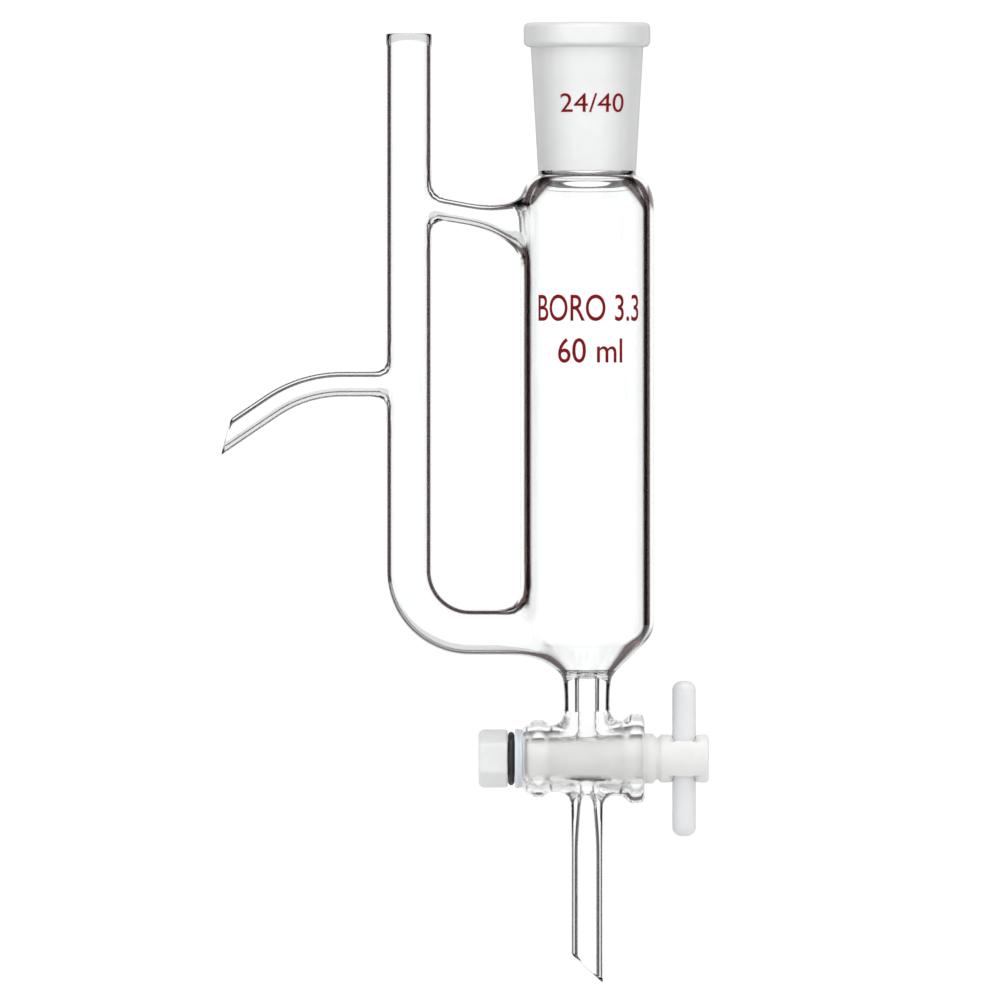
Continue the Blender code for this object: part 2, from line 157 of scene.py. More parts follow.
def slope_at(surface, points, step=0.01):
    """The surface's distance at each point, and how it grows along X, Y and Z."""
    here = surface(points)
    grown = [(surface(points + step * axis) - here) / step for axis in (X, Y, Z)]
    return here, np.stack(grown, axis=1)


class Turned:
    """A surface turned round a line, with its radius given at each place along the line."""

    def __init__(self, origin, along, across, radius_at):
        self.origin, self.along, self.across = np.array(origin, float), along, across
        self.beside = np.cross(along, across)
        self.radius_at = radius_at

    def distance(self, points):
        place = (points - self.origin) @ self.along
        away = np.linalg.norm(points - self.origin - place[:, None] * self.along, axis=1)
        step = 0.02
        slope = (self.radius_at(place + step) - self.radius_at(place - step)) / (2 * step)
        return (away - self.radius_at(place)) / np.sqrt(1 + slope**2)

    def rings(self, places, sides, radii=None):
        places = np.asarray(places, float)
        radii = self.radius_at(places) if radii is None else np.asarray(radii, float)
        radii = radii.reshape(len(places), -1)
        turns = np.arange(sides) * 2 * math.pi / sides
        round_line = np.outer(np.cos(turns), self.across) + np.outer(np.sin(turns), self.beside)
        centres = self.origin + places[:, None] * self.along
        return centres[:, None, :] + radii[:, :, None] * round_line[None]


def steady(radius):
    return lambda place: np.full(np.shape(place), float(radius))


def through(*points):
    """A radius that runs smoothly through (place, radius) points, level beyond both ends."""
    places, radii = np.array(points, float).T
    fine = np.linspace(places[0], places[-1], 400)
    width = (places[-1] - places[0]) / len(places) / 3
    weights = np.exp(-(((fine[:, None] - fine[None]) / width) ** 2))
    smooth = weights @ np.interp(fine, places, radii) / weights.sum(axis=1)
    return lambda place: np.interp(place, fine, smooth)


def vessel_radius(inset):
    """The reservoir and its neck, from the shoulder's top down. inset is the wall, or 0 outside."""
    side_r = RESERVOIR_R - inset
    top_r = SOCKET_BORE_FOOT_R if inset else RESERVOIR_R - SHOULDER_RUN
    foot_z = SHOULDER_FOOT_Z - inset / 3
    corner_x = RESERVOIR_R - CORNER_R
    corner_width = CORNER_R - inset
    corner_height = CORNER_BORE_DROP if inset else CORNER_DROP
    turn = math.atan2(corner_height, corner_width)
    cone_z = SIDE_FOOT_Z - corner_height * math.sin(turn)
    cone_r = corner_x + corner_width * math.cos(turn)
    neck_r = NECK_BORE_R if inset else NECK_R

    def radius(z):
        z = np.asarray(z, float)
        rise = np.clip((z - foot_z) / (SHOULDER_TOP_Z - SHOULDER_FOOT_Z), 0, 1)
        curve = (1 - rise**1.7) ** 0.74 if inset else np.sqrt(1 - rise**2)
        shoulder = top_r + (side_r - top_r) * curve
        drop = np.clip((SIDE_FOOT_Z - z) / corner_height, 0, 1)
        corner = corner_x + corner_width * np.sqrt(1 - drop**2)
        cone = cone_r + np.minimum(z - cone_z, 0)
        if inset:
            shelf = neck_r + 4.0 * (z - NECK_TOP_Z + 0.6)
            cone = smooth_max(smooth_union(cone, shelf, 0.8), neck_r, 0.8)
        else:
            flare = 0.9 * np.exp(np.minimum(z - NECK_TOP_Z, 0) / 2.5)
            cone = smooth_max(cone, neck_r + flare, 0.8)
        return np.where(z > foot_z, shoulder, np.where(z > cone_z, corner, cone))

    return radius


def bore_radius(place):
    return BARREL_BORE_START_R + BARREL_BORE_SLOPE * (np.asarray(place, float) - BARREL_START)


# The barrel widens towards the handle, and each end has a fused bead.
barrel_radius = through(
    *((BARREL_START, 7.9), (BARREL_START + 0.5, 8.4), (-16.2, 9.0), (-15.1, 9.95), (-14.2, 10.4)),
    *((-13.0, 10.55), (-11.9, 10.4), (-11.1, 9.9), (-10.4, 9.25), (-9.6, 9.0), (-5, 9.2), (0, 9.5)),
    *((5, 9.85), (8.8, 10.1), (9.8, 10.35), (10.5, 11.0), (11.3, 11.8), (12.3, 12.15)),
    *((13.3, 12.15), (14.4, 11.95), (BARREL_END, 11.5)),
)
vessel = Turned((0, 0, 0), Z, X, vessel_radius(0.0))
vessel_bore = Turned((0, 0, 0), Z, X, vessel_radius(WALL))
riser = Turned((RISER_X, 0, 0), Z, -X, steady(RISER_R))
riser_bore = Turned((RISER_X, 0, 0), Z, -X, steady(RISER_BORE_R))
arm = Turned((0, 0, ARM_Z), X, Z, steady(RISER_R))
arm_bore = Turned((0, 0, ARM_Z), X, Z, steady(RISER_BORE_R))
bridge_outside = through(
    *((0, 3.05), (5, 3.05), (10, 3.05), (14, 3.0), (17, 3.0), (19.5, 3.1), (22.3, 3.5)),
    *((25.2, 4.4), (28.4, 5.7), (31, 6.4), (34, 6.6)),
)
bridge = Turned((RISER_X, 0, BRIDGE_START_Z), heading(BRIDGE_SLOPE), Y, bridge_outside)
bridge_bore = Turned(
    bridge.origin, bridge.along, Y, lambda place: bridge_outside(place) - BRIDGE_WALL
)
spout_root = Turned((RISER_X, 0, SPOUT_Z), -X, Y, steady(SPOUT_R))
spout_root_bore = Turned((RISER_X, 0, SPOUT_Z), -X, Y, steady(SPOUT_BORE_R))
barrel = Turned((0, 0, AXIS_Z), X, Z, barrel_radius)
barrel_bore = Turned((0, 0, AXIS_Z), X, Z, bore_radius)
stem = Turned((0, 0, AXIS_Z), -Z, X, through((0, 4.5), (9, 4.5), (14, STEM_R), (60, STEM_R)))
stem_bore = Turned(
    (0, 0, AXIS_Z),
    -Z,
    X,
    through(
        *((0, STEM_TOP_BORE_R), (10, STEM_TOP_BORE_R), (13, 2.1)),
        *((22, STEM_BORE_R), (60, STEM_BORE_R)),
    ),
)

outsides = (vessel, riser, arm, bridge, spout_root, barrel, stem)
insides = (vessel_bore, riser_bore, arm_bore, bridge_bore, spout_root_bore, barrel_bore, stem_bore)


# Grids of rings -------------------------------------------


def band(low, high):
    """The quads between two loops of as many points."""
    return list(zip(low, np.roll(low, -1), np.roll(high, -1), high))


class Skin:
    """One side of the glass: points, quads and the grids that they came from."""

    def __init__(self):
        self.points, self.faces, self.frosted = np.zeros((0, 3)), [], []

    def add(self, points):
        first = len(self.points)
        self.points = np.vstack([self.points, points.reshape(-1, 3)])
        return np.arange(first, len(self.points)).reshape(points.shape[:-1])

    def grid(self, rings, holes=(), frosted_rows=0):
        """Quads between rings, but for holes, each (first row, last row, first column, last)."""
        index = self.add(rings)
        rows, sides = index.shape
        covered = {
            (row, column % sides)
            for top, bottom, left, right in holes
            for row in range(top, bottom)
            for column in range(left, right)
        }
        for row in range(rows - 1):
            for column, quad in enumerate(band(index[row], index[row + 1])):
                if (row, column) not in covered:
                    self.faces.append(quad)
                    self.frosted.append(row < frosted_rows)
        return index

    def bridge(self, first, last, rows):
        """Quads between two loops of as many points, with new points in rows between them."""
        a, b = self.points[first], self.points[last]
        count = len(first)
        turned = [(way, shift) for way in (1, -1) for shift in range(count)]
        way, shift = min(turned, key=lambda t: ((np.roll(b[:: t[0]], t[1], axis=0) - a) ** 2).sum())
        last = np.roll(np.asarray(last)[::way], shift)
        b = self.points[last]
        steps = np.arange(1, rows)[:, None, None] / rows
        between = self.add(a[None] * (1 - steps) + b[None] * steps)
        loops = [np.asarray(first), *between, last]
        for low, high in zip(loops, loops[1:]):
            self.faces += band(low, high)
            self.frosted += [False] * count

    def relax(self, centre, reach, surface, rounds=36):
        """Evens out the points within reach of a centre and draws them onto a surface."""
        quads = np.array(self.faces)
        near = np.zeros(len(self.points), bool)
        near[quads] = True
        near &= np.linalg.norm(self.points - centre, axis=1) < reach
        ends = np.concatenate([quads[:, [i, (i + 1) % 4]] for i in range(4)])
        ends = np.unique(np.sort(ends, axis=1), axis=0)
        ends = ends[near[ends].any(axis=1)]
        count = np.bincount(ends.reshape(-1), minlength=len(near))[near][:, None]
        for _ in range(rounds):
            total = np.zeros_like(self.points)
            np.add.at(total, ends[:, 0], self.points[ends[:, 1]])
            np.add.at(total, ends[:, 1], self.points[ends[:, 0]])
            moved = 0.3 * self.points[near] + 0.7 * total[near] / count
            self.points[near] = drawn_onto(moved, surface)
        self.points[near] = drawn_onto(self.points[near], surface, 4)


def drawn_onto(points, surface, rounds=1):
    """The points moved along the surface's slope until its distance is nothing."""
    for _ in range(rounds):
        here, slope = slope_at(surface, points)
        points = points - here[:, None] * slope / np.maximum((slope**2).sum(axis=1), 0.2)[:, None]
    return points


def rim_of(index, hole):
    """The loop of points round a hole in a grid."""
    top, bottom, left, right = hole
    sides = index.shape[1]
    loop = [index[top, c % sides] for c in range(left, right)]
    loop += [index[r, right % sides] for r in range(top, bottom)]
    loop += [index[bottom, c % sides] for c in range(right, left, -1)]
    return loop + [index[r, left % sides] for r in range(bottom, top, -1)]


def places(start, stop, coarse, *blocks):
    """Places from start to stop about coarse apart, and closer in blocks: (middle, cells, cell)."""
    way = math.copysign(1, stop - start)
    found = [start]
    for middle, cells, cell in (*blocks, (stop, 0, coarse)):
        first = middle - way * cells * cell / 2
        gap = abs(first - found[-1])
        if gap > 1e-6:
            found += list(np.linspace(found[-1], first, max(1, round(gap / coarse)) + 1)[1:])
        found += [first + way * cell * (i + 1) for i in range(cells)]
    return np.array(found)


def hole_at(stations, middle, cells, side, sides):
    """The hole of cells by cells whose middle is at a place and at a fraction of a turn."""
    top = int(np.argmin(np.abs(stations - middle))) - cells // 2
    left = round(side * sides) - cells // 2
    return top, top + cells, left, left + cells


def arc(centre, radii, start, end, steps):
    turns = np.radians(np.linspace(start, end, steps + 1))
    return list(zip(centre[0] + radii[0] * np.cos(turns), centre[1] + radii[1] * np.sin(turns)))


def rounded(turns):
    return [(1 - math.sin(turn), 1 - math.cos(turn)) for turn in turns]


def sweep(stations, sides):
    """Rings round a path in the XZ plane, from (centre, heading, radius)."""
    turns = np.arange(sides) * 2 * math.pi / sides
    rings = []
    for centre, angle, radius in stations:
        beside = np.cross(heading(angle), Y)
        round_path = np.outer(np.cos(turns), Y) + np.outer(np.sin(turns), beside)
        rings.append(centre + radius * round_path)
    return np.array(rings)


def ripple(points, centre, reach, height, surface):
    """Low waves that a flame leaves round a weld, fading out with distance from its centre."""
    away = np.linalg.norm(points - centre, axis=1)
    near = away < reach
    at = points[near]
    wave = np.sin(at @ (1.9, 2.3, 0.7) + 1.0) + np.sin(at @ (-1.1, 1.7, 2.6) + 2.0)
    wave += np.sin(at @ (2.8, -0.9, 1.3) + 0.5) + 0.7 * np.sin(at @ (3.9, 3.1, -3.3))
    _, slope = slope_at(surface, at)
    slope /= np.linalg.norm(slope, axis=1)[:, None] + 1e-9
    fade = (1 - (away[near] / reach) ** 2) ** 2
    points[near] = at + slope * (height * fade * wave)[:, None]


# The glass ------------------------------------------------


def socket_outside():
    """(radius, place) rows over the rim's bead and down the ground socket's outer side."""
    corner_r = BEAD_R - BEAD_EDGE
    rows = [(MOUTH_R + LIP, RIM_Z), (MOUTH_R + 1.3, RIM_Z), (MOUTH_R + 2.5, RIM_Z)]
    rows += arc((corner_r, RIM_Z - BEAD_EDGE), (BEAD_EDGE, BEAD_EDGE), 90, 0, 8)
    rows += arc((corner_r, RIM_Z + BEAD_EDGE - BEAD_HEIGHT), (BEAD_EDGE, BEAD_EDGE), 0, -90, 8)
    bead_foot = RIM_Z - BEAD_HEIGHT
    rows += [(SOCKET_TOP_R + 0.12, bead_foot - 0.04), (SOCKET_TOP_R, bead_foot - 0.3)]
    foot = (SOCKET_FOOT_R, SOCKET_FOOT_Z)
    return rows + list(zip(*np.linspace(rows[-1], foot, 12)[1:].T))


def socket_inside():
    rows = arc((MOUTH_R + LIP, RIM_Z - LIP), (LIP, LIP), 120, 180, 3)
    return rows + list(zip(*np.linspace(rows[-1], (SOCKET_BORE_FOOT_R, SOCKET_FOOT_Z), 14)[1:].T))


def shoulder_rows(inside):
    """Heights down the curved shoulder, spaced by angle."""
    inset = WALL if inside else 0.0
    foot_z = SHOULDER_FOOT_Z - inset / 3
    past = (SOCKET_FOOT_R - RESERVOIR_R + SHOULDER_RUN) / SHOULDER_RUN
    start = 90 if inside else math.degrees(math.acos(past))
    turns = np.radians(np.linspace(start, 0, 15))
    return foot_z + (SHOULDER_TOP_Z - SHOULDER_FOOT_Z) * np.sin(turns)


def barrel_rows(inside, cell):
    """(radius, place) rows along the barrel, with a rounded edge at each end."""
    rim = LIP if inside else 1.3
    coarse = 1.5 if inside else 0.55
    along = places(BARREL_START + rim, BARREL_END - rim, coarse, (0, NECK_CELLS, cell))
    radius_at = bore_radius if inside else barrel_radius
    rows = list(zip(radius_at(along), along))
    for end, way in ((BARREL_START, 1), (BARREL_END, -1)):
        at = end + way * rim
        out = rim if inside else -rim
        bends = rounded((0.5, 1.0) if inside else np.radians(np.linspace(0, 80, 7)))
        edge = [(radius_at(at) + out * rise, end + way * rim * back) for rise, back in bends]
        if not inside:
            face = np.linspace(bore_radius(end) + LIP, edge[0][0], 4)[:-1]
            edge = [(radius, end) for radius in face] + edge
        rows = edge + rows if way > 0 else rows + edge[::-1]
    return rows


def spout_end(points, tip):
    """The last ring slid along the spout onto the plane that the tip is cut on."""
    way, normal = heading(math.pi + SPOUT_DROP), heading(SPOUT_CUT_HEADING)
    return points + np.outer((tip - points) @ normal / (way @ normal), way)


def vessel_rows(inside, body, cell):
    """The socket's (radius, place) rows, and all places and radii down to the neck's foot."""
    socket = socket_inside() if inside else socket_outside()
    shoulder = shoulder_rows(inside)
    foot = AXIS_Z + (NECK_BORE_END if inside else NECK_END)
    under_bridge = (shoulder[-1] - 7 * cell, 14, cell)
    down = places(shoulder[-1], foot, 5.0, under_bridge, (ARM_Z, BRANCH_CELLS, cell))
    neck_top = ARM_Z - BRANCH_CELLS / 2 * cell
    below = places(neck_top, foot, 0.6, (NECK_TOP_Z, 16, 0.2))
    down = np.concatenate([down[down > neck_top - 0.01], below[1:]])
    stations = np.concatenate([[z for _, z in socket], shoulder, down[1:]])
    radii = np.concatenate([[r for r, _ in socket], body.radius_at(stations[len(socket):])])
    return socket, stations, radii


def riser_rings(inside, cell):
    """The height of each ring, and the rings down the riser, round the bend and along the arm."""
    riser_r = RISER_BORE_R if inside else RISER_R
    blocks = [(z, BRANCH_CELLS, cell) for z in (BRIDGE_WELD_Z, SPOUT_Z)]
    straight = places(RISER_TOP_Z - LIP, BEND_TOP_Z, 4.0, *blocks)
    if inside:
        bends = rounded((0.5, 1.0))
        tops = [(riser_r + LIP * out, RISER_TOP_Z - LIP * drop) for out, drop in bends]
    else:
        tops = [(riser_r - LIP, RISER_TOP_Z), (riser_r - 0.1, RISER_TOP_Z - 0.1)]
    tops += [(riser_r, z) for z in straight]
    run = [(np.array([RISER_X, 0, z]), -math.pi / 2, r) for r, z in tops]
    centre = np.array([RISER_X + BEND_R, 0, BEND_TOP_Z])
    for turn in np.linspace(math.pi, 1.5 * math.pi, 27)[1:]:
        run.append((centre + BEND_R * heading(turn), turn + math.pi / 2, riser_r))
    for x in np.linspace(RISER_X + BEND_R, ARM_END_X, 5)[1:]:
        run.append((np.array([x, 0, ARM_Z]), 0.0, riser_r))
    return np.array([centre[2] for centre, _, _ in run]), sweep(run, RISER_SIDES)


def spout_rings(spout_r, tip_edge):
    """Rings along the spout's straight, its bend and its fall, to the tip cut on the slant."""
    fall = math.pi + SPOUT_DROP
    way, root = heading(fall), np.array([RISER_X, 0, SPOUT_Z])
    run = [(root - s * X, math.pi, spout_r) for s in np.linspace(10.0, SPOUT_STRAIGHT, 8)]
    centre = root - SPOUT_STRAIGHT * X - SPOUT_BEND_R * Z
    for turn in np.linspace(0, SPOUT_DROP, 14)[1:]:
        run.append((centre + SPOUT_BEND_R * heading(math.pi / 2 + turn), math.pi + turn, spout_r))
    bent = run[-1][0]
    tip = bent + SPOUT_END * way
    run += [(bent + part * SPOUT_END * way, fall, spout_r) for part in np.linspace(0, 0.5, 6)[1:]]
    run += [(tip - back * way, fall, spout_r) for back in TIP_RINGS]
    run.append((tip, fall, spout_r + tip_edge))
    rings = sweep(run, BRANCH_SIDES)
    for ring, back in enumerate((*TIP_RINGS, 0), -SLANTED):
        rings[ring] = spout_end(rings[ring], tip - back * way)
    return rings


def stem_rings(pipe, root, tip_edge):
    """Rings down the drip stem, to its tip cut on the slant."""
    tip_depth = AXIS_Z - STEM_TIP_Z - STEM_R * STEM_TIP_SLOPE
    narrowed = 24
    depths = [np.linspace(root, narrowed, 14), np.linspace(narrowed, tip_depth - 7.0, 12)[1:]]
    depths = np.append(np.concatenate(depths), [tip_depth - back for back in (*TIP_RINGS, 0)])
    radii = pipe.radius_at(depths)
    radii[-1] += tip_edge
    rings = pipe.rings(depths, STEM_SIDES, radii)
    rings[-SLANTED:, :, 2] -= STEM_TIP_SLOPE * rings[-SLANTED:, :, 0]
    return rings


def blend_welds(skin, inside):
    """Evens out the points near each weld, and leaves the flame's ripples on the outer side."""
    body, tube, level, link, branch, shell, pipe = insides if inside else outsides
    neck_blend, stem_blend = (0.8, 0.8) if inside else (4.0, 3.6)
    # (centre, reach of the smoothing, the two surfaces, blend, height of the ripple).
    welds = (
        ((-RESERVOIR_R, 0, BRIDGE_START_Z - 6.5), 15.0, body, link, bridge_blend, 0.0),
        ((RISER_X + RISER_R, 0, BRIDGE_WELD_Z), 9.5, tube, link, 3.4, 0.03),
        ((RISER_X - RISER_R, 0, SPOUT_Z), 9.0, tube, branch, 2.8, 0.03),
        ((-RESERVOIR_R, 0, ARM_Z), 15.0, body, level, 5.5, 0.0),
        ((0, 0, AXIS_Z + 9.5), 9.5, body, shell, neck_blend, 0.04),
        ((0, 0, AXIS_Z - 9.5), 8.5, shell, pipe, stem_blend, 0.05),
    )
    for centre, reach, first, second, blend, height in welds:

        def surface(points, first=first, second=second, blend=blend):
            wide = (0.7 if inside else 1.0) * blend(points) if callable(blend) else blend
            return smooth_union(first.distance(points), second.distance(points), wide)

        centre = np.array(centre)
        if inside and shell in (first, second):
            centre, reach = centre - Z * math.copysign(3.0, centre[2] - AXIS_Z), 6.0
        skin.relax(centre, reach, surface)
        if not inside:
            ripple(skin.points, centre, reach * 0.8, height, surface)
    if inside:
        return
    # Glass gathered at the roots: (centre, reach, height, the two surfaces).
    gathered = (
        ((RISER_X + RISER_R + 1.8, 0, BRIDGE_WELD_Z - 3.4), 3.4, 0.09, riser, bridge),
        ((RISER_X - RISER_R - 1.0, 0, SPOUT_Z - 3.7), 2.8, 0.09, riser, spout_root),
        ((4.6, 0, AXIS_Z + 12.0), 4.0, 0.05, vessel, barrel),
        ((-4.6, 0, AXIS_Z + 12.0), 4.0, 0.05, vessel, barrel),
    )
    for centre, reach, height, first, second in gathered:

        def surface(points, first=first, second=second):
            return smooth_union(first.distance(points), second.distance(points), 3.0)

        ripple(skin.points, np.array(centre), reach, height, surface)


def make_skin(inside):
    """The glass's outer side, or its inner one, and the rings at its six open ends."""
    wide, narrow, fine = (1.0, 0.5, 0.3) if inside else (1.15, 0.65, 0.62)
    tip_edge = TIP_EDGE if inside else -TIP_EDGE
    body, _, _, link, _, shell, pipe = insides if inside else outsides
    skin = Skin()

    socket, stations, radii = vessel_rows(inside, body, wide)
    bridge_row = int(np.argmin(np.abs(stations - BRIDGE_PATCH_Z)))
    bridge_hole = hole_at(stations, stations[bridge_row], BRANCH_CELLS, 0.5, WIDE_SIDES)
    arm_hole = hole_at(stations, ARM_Z, BRANCH_CELLS, 0.5, WIDE_SIDES)
    rings = body.rings(stations, WIDE_SIDES, radii)
    vessel_grid = skin.grid(rings, (bridge_hole, arm_hole), frosted_rows=len(socket) - 1)

    heights, rings = riser_rings(inside, narrow)
    riser_bridge = hole_at(heights, BRIDGE_WELD_Z, BRANCH_CELLS, 0.25, RISER_SIDES)
    riser_spout = hole_at(heights, SPOUT_Z, BRANCH_CELLS, 0.75, RISER_SIDES)
    riser_grid = skin.grid(rings, (riser_bridge, riser_spout))
    skin.bridge(riser_grid[-1], rim_of(vessel_grid, arm_hole), 4)

    link_grid = skin.grid(link.rings(np.linspace(*BRIDGE_SPAN, 12), BRANCH_SIDES))
    skin.bridge(rim_of(riser_grid, riser_bridge), link_grid[0], 4)
    skin.bridge(link_grid[-1], rim_of(vessel_grid, bridge_hole), 6)

    spout_grid = skin.grid(spout_rings(SPOUT_BORE_R if inside else SPOUT_R, tip_edge))
    skin.bridge(rim_of(riser_grid, riser_spout), spout_grid[0], 4)

    radii, along = np.array(barrel_rows(inside, fine)).T
    neck_hole = hole_at(along, 0.0, NECK_CELLS, 0.0, WIDE_SIDES)
    stem_hole = hole_at(along, 0.0, STEM_CELLS, 0.5, WIDE_SIDES)
    barrel_grid = skin.grid(shell.rings(along, WIDE_SIDES, radii), (neck_hole, stem_hole))
    skin.bridge(vessel_grid[-1], rim_of(barrel_grid, neck_hole), 3)

    stem_grid = skin.grid(stem_rings(pipe, STEM_BORE_START if inside else STEM_START, tip_edge))
    skin.bridge(rim_of(barrel_grid, stem_hole), stem_grid[0], 3)

    blend_welds(skin, inside)
    ends = [vessel_grid[0], riser_grid[0], spout_grid[-1]]
    return skin, [*ends, barrel_grid[0], barrel_grid[-1], stem_grid[-1]]


def mesh_of(name, shape, *finishes):
    """A mesh made of a bmesh, which is then freed."""
    mesh = bpy.data.meshes.new(name)
    shape.to_mesh(mesh)
    shape.free()
    for finish in finishes:
        mesh.materials.append(finish)
    return mesh


def placed(name, data):
    """A new object in the scene that shows some data."""
    made = bpy.data.objects.new(name, data)
    bpy.context.scene.collection.objects.link(made)
    return made


def object_of(name, points, faces, finishes, slots=None):
    """An object in metres from points in millimetres, with its faces turned outwards."""
    shape = bmesh.new()
    corners = [shape.verts.new(point) for point in np.asarray(points) * MM]
    for number, face in enumerate(faces):
        made = shape.faces.new([corners[i] for i in face])
        made.material_index = slots[number] if slots else 0
        made.smooth = True
    spare = [corner for corner in corners if not corner.link_faces]
    bmesh.ops.delete(shape, geom=spare, context="VERTS")
    bmesh.ops.recalc_face_normals(shape, faces=shape.faces)
    return placed(name, mesh_of(name, shape, *finishes))


def make_glass_body(*finishes):
    """Both sides of the glass, joined at the open ends. finishes: one for each slot, in order."""
    outer, outer_ends = make_skin(False)
    inner, inner_ends = make_skin(True)
    first = len(outer.points)
    points = np.vstack([outer.points, inner.points])
    faces = list(outer.faces) + [tuple(i + first for i in face) for face in inner.faces]
    slots = [GROUND if mark else OUTER for mark in outer.frosted]
    slots += [GROUND if mark else BORE for mark in inner.frosted]
    middles = points[np.array(faces)].mean(axis=1)
    bored = np.arange(len(faces)) >= len(outer.faces)
    x, z = middles[:, 0], middles[:, 2]
    neck = bored & (z < NECK_TOP_Z) & (z > AXIS_Z)
    spout = x < RISER_X - RISER_R - 1
    link = (x > RISER_X + RISER_R + 1) & (x < -RESERVOIR_R - 1)
    branch = (spout | link) & bored & (z > SPOUT_LOW[2] - 1)
    shell = (z < AXIS_Z + SHELL_TOP) & (z > AXIS_Z - SHELL_DEPTH)
    parts = ((branch, BRANCH), (neck, NECK), (bored & (z < AXIS_Z), STEM))
    for part, slot in (*parts, (shell & ~bored, SHELL), (shell & bored, SEAT)):
        slots = [slot if within else kept for kept, within in zip(slots, part)]
    for number, (outside, inside) in enumerate(zip(outer_ends, inner_ends)):
        faces += band(outside, inside + first)
        slots += [GROUND if number == 0 else ENDS] * len(outside)
    return object_of("glass_body", points, faces, finishes, slots)


# Materials ------------------------------------------------


# Most of a noise texture lies between these.
NOISE_LOW, NOISE_HIGH = 0.3, 0.7


class Finish:
    """A Principled material and the nodes that vary it. The size of a pattern is in millimetres."""

    def __init__(self, name, **sockets):
        self.material = bpy.data.materials.new(name)
        self.material.use_nodes = True
        self.tree = self.material.node_tree
        self.shader = self.tree.nodes["Principled BSDF"]
        for socket, value in sockets.items():
            self.shader.inputs[socket.replace("_", " ")].default_value = value
        self.place = self.node("ShaderNodeTexCoord").outputs["Object"]
        self.normal = None

    def node(self, kind, **inputs):
        made = self.tree.nodes.new(kind)
        for socket, value in inputs.items():
            self.feed(made.inputs[socket.replace("_", " ")], value)
        return made

    def feed(self, socket, value):
        if isinstance(value, bpy.types.NodeSocket):
            self.tree.links.new(value, socket)
        else:
            socket.default_value = value

    def noise(self, size, detail=2.0):
        """Noise with features of size, a length or one length for each axis."""
        sizes = np.broadcast_to(size, 3)
        scaled = self.node("ShaderNodeMapping", Vector=self.place, Scale=tuple(1 / (sizes * MM)))
        made = self.node("ShaderNodeTexNoise", Vector=scaled.outputs[0], Scale=1.0, Detail=detail)
        return made.outputs["Fac"]

    def colour(self, factor, first, second):
        ramp = self.node("ShaderNodeValToRGB", Fac=factor)
        ends = zip(ramp.color_ramp.elements, (NOISE_LOW, NOISE_HIGH), (first, second))
        for element, position, colour in ends:
            element.position, element.color = position, (*colour, 1)
        self.feed(self.shader.inputs["Base Color"], ramp.outputs[0])

    def shade_aslant(self, painted_shade_stops):
        """Multiplies the colour by a shade for each angle, from (facing, (red, green, blue))."""
        facing = self.node("ShaderNodeLayerWeight", Blend=0.5).outputs["Facing"]
        ramp = self.node("ShaderNodeValToRGB", Fac=facing)
        elements = ramp.color_ramp.elements
        while len(elements) < len(painted_shade_stops):
            elements.new(0.5)
        for element, (position, shade) in zip(elements, painted_shade_stops):
            element.position, element.color = position, (*shade, 1)
        mix = self.node("ShaderNodeMix")
        mix.data_type, mix.blend_type = "RGBA", "MULTIPLY"
        mix.inputs[0].default_value = 1.0
        base = self.shader.inputs["Base Color"]
        self.feed(mix.inputs[6], base.links[0].from_socket)
        self.feed(mix.inputs[7], ramp.outputs[0])
        self.feed(base, mix.outputs[2])

    def roughness(self, factor, low, high):
        spread = {"From_Min": NOISE_LOW, "From_Max": NOISE_HIGH}
        made = self.node("ShaderNodeMapRange", Value=factor, To_Min=low, To_Max=high, **spread)
        self.feed(self.shader.inputs["Roughness"], made.outputs[0])

    def bump(self, factor, depth):
        made = self.node("ShaderNodeBump", Height=factor, Distance=depth * MM, Strength=1.0)
        if self.normal:
            self.feed(made.inputs["Normal"], self.normal)
        self.normal = made.outputs[0]
        self.feed(self.shader.inputs["Normal"], self.normal)


LEAST_ALPHA = 0.12


def clear_glass(name, *painted_shade_stops, opaque_from=None, **sockets):
    """Drawn borosilicate: a trace of green, faint handling marks and long, low draw lines.

    Each stop is (facing, painted shade): dark bands painted into the colour at those angles, where
    thick walls would bend light from dark surroundings.
    opaque_from is the facing where the glass starts to hide what is behind, and where it does.
    """
    made = Finish(name, Transmission_Weight=1.0, IOR=1.47, **sockets)
    smudge = made.noise(9.0, detail=4.0)
    made.colour(smudge, (0.975, 0.985, 0.982), (0.995, 1.0, 0.998))
    # Painted shade: the colour darkened in bands by the angle of the surface.
    if painted_shade_stops:
        made.shade_aslant(painted_shade_stops)
    if opaque_from:
        facing = made.node("ShaderNodeLayerWeight", Blend=0.5).outputs["Facing"]
        start, full = opaque_from
        seen = made.node("ShaderNodeMapRange", Value=facing, From_Min=start, From_Max=full)
        seen.inputs["To Min"].default_value = LEAST_ALPHA
        made.feed(made.shader.inputs["Alpha"], seen.outputs[0])
    made.roughness(smudge, 0.0, 0.012)
    made.bump(made.noise((3.0, 3.0, 40.0), detail=1.0), 0.004)
    return made.material


def frosted_glass():
    """Glass ground with grit: white, with fine rings where the grinding tool turned, and painted
    shade that darkens it towards its sides.
    """
    made = Finish("frosted_glass", Transmission_Weight=0.06, IOR=1.47)
    grain = made.noise(0.25, detail=3.0)
    bands = made.noise((30.0, 30.0, 0.6), detail=3.0)
    made.colour(made.noise(6.0, detail=4.0), (0.925, 0.93, 0.935), (0.965, 0.97, 0.975))
    # Painted shade: the colour darkened as the surface turns away from face-on.
    painted_shades = ((0.03, 1.0), (0.10, 0.93), (0.24, 0.81), (0.42, 0.77), (0.7, 0.84), (0.9, 0.66))
    made.shade_aslant([(facing, (shade, shade, shade)) for facing, shade in painted_shades])
    made.roughness(grain, 0.40, 0.55)
    made.bump(bands, 0.02)
    made.bump(grain, 0.02)
    return made.material


